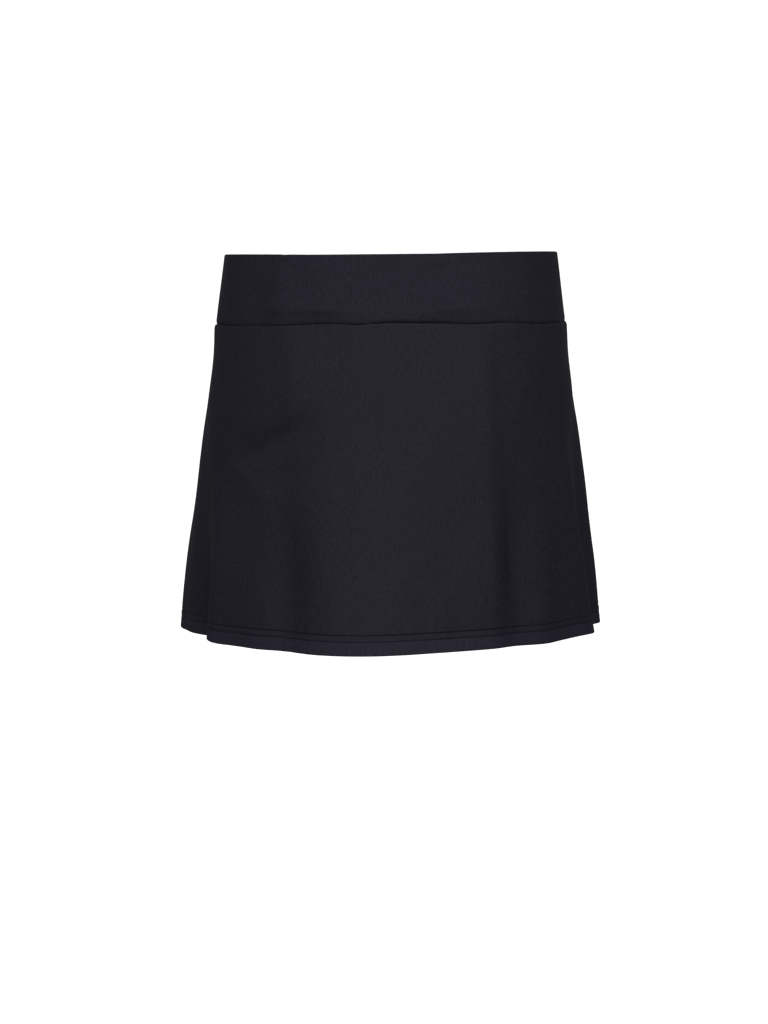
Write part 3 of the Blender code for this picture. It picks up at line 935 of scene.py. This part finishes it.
def leg_rings(drops, finer=1):
    """Level rings round the +X leg: the outside from its front line to its back line, then back inside."""
    turns = np.linspace(-90, 90, finer * LEG_OUTER_COLUMNS + 1)[None, :]
    shares = np.linspace(1, 0, finer * LEG_INNER_COLUMNS + 1)[None, :]
    drops = np.array(drops)[:, None]
    down = (drops - RISE_START) / (SHORTS_LENGTH - RISE_START)
    outer = leg_surface(turns + 0 * drops, drops + 0 * turns)
    return np.concatenate([outer, inner_leg(shares + 0 * down, down + 0 * shares)[:, 1:-1]], axis=1)


def leg_in_place(side, grid):
    """Points of the +X leg in the garment's frame, or mirrored to -X where side is -1."""
    x = side * grid[..., 0]
    return np.stack([x, grid[..., 1], SIDE_TILT * x - grid[..., 2]], axis=-1)


def shorts_piece(side_name, side):
    """One leg of the shorts. side is 1 for the one at +X and -1 for its mirror image."""
    turns = np.linspace(-90, 90, LEG_OUTER_COLUMNS + 1)[None, :]
    top = band_bottom(90 + turns) + SEAM_GAP
    hip_drops = top + np.linspace(0, 1, HIP_ROWS + 1)[:-1, None] * (RISE_START - top)
    hip = leg_in_place(side, leg_surface(turns + 0 * hip_drops, hip_drops))
    leg_height = SHORTS_LENGTH - RISE_START
    downs = row_shares(LEG_TOP_ROWS, LEG_HEM_ROWS, leg_height, LEG_ROW)
    ring = leg_in_place(side, leg_rings(RISE_START + leg_height * downs))
    if side < 0:
        hip, ring = hip[:, ::-1], np.roll(ring[:, ::-1], LEG_OUTER_COLUMNS + 1, axis=1)
    inside_rows = int((LEG_HEM_ROWS <= LEG_TURN_UP).sum())
    ring = folded(ring, outward(ring, True), LEG_HEM_WALL, HEM_FOLD_ROWS, inside_rows)
    between_them = np.concatenate([hip[-1:], ring[:1, : LEG_OUTER_COLUMNS + 1]])
    name = "shorts_leg_%s_cloth" % side_name
    mesh = grid_mesh(name, [(hip, False), (between_them, False), (ring, True)])
    piece = place(name, mesh, SHORTS_KNIT)
    weld = piece.modifiers.new("weld", "WELD")
    weld.merge_threshold = WELD_DISTANCE
    apply_modifier(piece, weld)
    solid_cloth(piece, KNIT)
    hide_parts("shorts_leg_%s" % side_name)
    return piece


def leg_hem_sewing(side_name, side):
    """The two rows of needle stitches at a leg's hem."""
    lines = []
    for height in LEG_NEEDLE_ROWS:
        drop = SHORTS_LENGTH - height
        rings = leg_in_place(side, leg_rings((drop - LINE_STEP, drop, drop + LINE_STEP), finer=4))
        if side < 0:
            rings = rings[:, ::-1]
        lines.append([np.concatenate([row, row[:1]]) for row in (rings[1], outward(rings, True)[1])])
    return sewn_piece("shorts_hem_stitches_%s" % side_name, stitches(lines))


shorts_right = shorts_piece("right", 1)
shorts_left = shorts_piece("left", -1)
leg_hem_right = leg_hem_sewing("right", 1)
leg_hem_left = leg_hem_sewing("left", -1)


# --- Seam allowances, inside ---

ALLOWANCE_ROWS = 7
WAIST_ALLOWANCE_COLUMNS = 150
WAIST_ALLOWANCE_START = 0.0005      # below the seam
SIDE_ALLOWANCE_POINTS = 160
SIDE_ALLOWANCE_INSET = (0.0060, 0.0012)     # below the waist seam and above the hem's fold
SIDE_RADIUS = 0.17                  # of the skirt at its sides
CLEARANCE = 0.0002                  # between a strip and the cloth that it lies on
STEP_AT_TURN_UP = 0.002             # the height over which a strip climbs onto the hem's turned-up cloth
OVERLOCK_PITCH = 0.0021
OVERLOCK_LIFT = 0.0001


def overlocked(name, strip, normals):
    """A strip of seam allowance from its seam (first row) to its cut edge (last row), bound with thread."""
    piece = place(name, grid_mesh(name, [(strip, False)]), OUTER_KNIT)
    solid_cloth(piece, SEAM_PLIES)
    inside = strip - normals * (SEAM_PLIES + OVERLOCK_LIFT)
    middle = len(strip) // 2
    binding = looper(inside[-1], inside[middle], -normals[-1], OVERLOCK_PITCH, OVERLOCK_LIFT, THREAD)
    return [piece, sewn_piece(name + "_thread", binding)]


def waist_allowance(side):
    """The waist seam's allowance, which lies down inside the top of the shorts."""
    angle = panel_angles(side, WAIST_ALLOWANCE_COLUMNS)[None, :]
    drop = band_bottom(angle) + np.linspace(WAIST_ALLOWANCE_START, ALLOWANCE, ALLOWANCE_ROWS)[:, None]
    strip = section_point(LEG_SECTIONS, angle + 0 * drop, drop, -KNIT - CLEARANCE)
    return overlocked("waist_seam_allowance_%s" % side, strip, outward(strip, False))


def side_allowance(name, seam):
    """A side seam's allowance, which lies towards the back inside the skirt."""
    below_seam, over_fold = SIDE_ALLOWANCE_INSET
    drop = np.linspace(BAND_HEIGHT + below_seam, SKORT_LENGTH - over_fold, SIDE_ALLOWANCE_POINTS)[:, None]
    away = np.linspace(0, math.degrees(ALLOWANCE / SIDE_RADIUS), ALLOWANCE_ROWS)[None, :]
    angle = seam + math.copysign(1, seam) * away
    if seam < 0:
        angle = angle[:, ::-1]
    on_turn_up = np.clip((TURN_UP + STEP_AT_TURN_UP - (SKORT_LENGTH - drop)) / STEP_AT_TURN_UP, 0, 1)
    depth = KNIT + CLEARANCE + (HEM_WALL - KNIT) * on_turn_up
    face = skirt_surface(angle + 0 * drop, drop + 0 * angle)
    normals = outward(face, False)
    strip = face - normals * depth[..., None]
    strip, normals = strip.transpose(1, 0, 2), normals.transpose(1, 0, 2)
    if seam > 0:
        strip, normals = strip[:, ::-1], normals[:, ::-1]
    else:
        strip, normals = strip[::-1], normals[::-1]
    return overlocked("side_seam_allowance_%s" % name, strip, normals)


allowance_front = waist_allowance("front")
allowance_back = waist_allowance("back")
allowance_right = side_allowance("right", 90)
allowance_left = side_allowance("left", -90)


# --- Floor, light and camera ---

BACKDROP_GREY = 0.9
BACKDROP_GLOW = 0.9


def stage_sheet():
    """A white floor that curves up into a backdrop."""
    near_edge, floor, depth, bend, height, half_width = -3.0, -1.0, 2.6, 0.8, 2.4, 3.5
    turns = np.linspace(0, math.pi / 2, 13)
    curve = [(depth + bend * math.sin(turn), floor + bend * (1 - math.cos(turn))) for turn in turns]
    profile = [(near_edge, floor), *curve, (depth + bend, height)]
    vertices = [(x, y, z) for y, z in profile for x in (-half_width, half_width)]
    faces = [(2 * i, 2 * i + 1, 2 * i + 3, 2 * i + 2) for i in range(len(profile) - 1)]
    mesh = bpy.data.meshes.new("backdrop")
    mesh.from_pydata(vertices, [], faces)
    mesh.shade_smooth()
    backdrop = bpy.data.objects.new("backdrop", mesh)
    bpy.context.scene.collection.objects.link(backdrop)
    material, shader = shader_material("backdrop_white", (BACKDROP_GREY,) * 3, 1.0, 0.0)
    shader.inputs["Emission Color"].default_value = (1, 1, 1, 1)
    shader.inputs["Emission Strength"].default_value = BACKDROP_GLOW
    mesh.materials.append(material)
    backdrop.visible_diffuse = False
    backdrop.visible_glossy = False


# Soft lights, all aimed at the middle of the garment: their places, sizes, watts and colours.
Softbox = namedtuple("Softbox", "name place size power colour")

AIM = Vector((0, 0, -0.17))
WHITE = (1.0, 1.0, 1.0)
WARM = (1.0, 1.0, 0.86)
SOFTBOXES = (
    Softbox("front", (0.15, -2.6, 0.0), (0.8, 0.7), 19.5, WHITE),
    Softbox("left", (-2.2, -1.3, 0.4), (2.2, 1.4), 7.0, WARM),
    Softbox("right", (2.05, -1.5, 0.4), (2.2, 1.4), 6.8, WARM),
    Softbox("top", (0.0, -0.7, 2.4), (1.6, 1.2), 25.0, (0.98, 0.98, 1.0)),
    Softbox("back", (0.0, 2.4, 1.3), (1.2, 0.8), 16.0, WHITE),
)
WORLD_COLOUR = (0.99, 0.92, 0.96)
WORLD_STRENGTH = 0.16


def light_up(softbox):
    light = bpy.data.lights.new(softbox.name, "AREA")
    light.shape = "RECTANGLE"
    light.size, light.size_y = softbox.size
    light.energy = softbox.power
    light.color = softbox.colour
    lamp = bpy.data.objects.new(softbox.name, light)
    bpy.context.scene.collection.objects.link(lamp)
    lamp.location = softbox.place
    lamp.rotation_euler = (AIM - Vector(softbox.place)).to_track_quat("-Z", "Y").to_euler()


stage_sheet()
for each in SOFTBOXES:
    light_up(each)

world = bpy.data.worlds.new("studio")
world.use_nodes = True
world.node_tree.nodes["Background"].inputs["Color"].default_value = (*WORLD_COLOUR, 1)
world.node_tree.nodes["Background"].inputs["Strength"].default_value = WORLD_STRENGTH
bpy.context.scene.world = world
bpy.context.scene.view_settings.view_transform = "Standard"

CAMERA_AT = (-0.006, -1.8, -0.0132)
CAMERA_PITCH = 6.967        # degrees below level
CAMERA_LENS = 70.3          # millimetres
SENSOR_WIDTH = 36

camera_data = bpy.data.cameras.new("camera")
camera_data.lens = CAMERA_LENS
camera_data.sensor_width = SENSOR_WIDTH
camera = bpy.data.objects.new("camera", camera_data)
camera.location = CAMERA_AT
camera.rotation_euler = (math.radians(90 - CAMERA_PITCH), 0, 0)
bpy.context.scene.collection.objects.link(camera)
bpy.context.scene.camera = camera
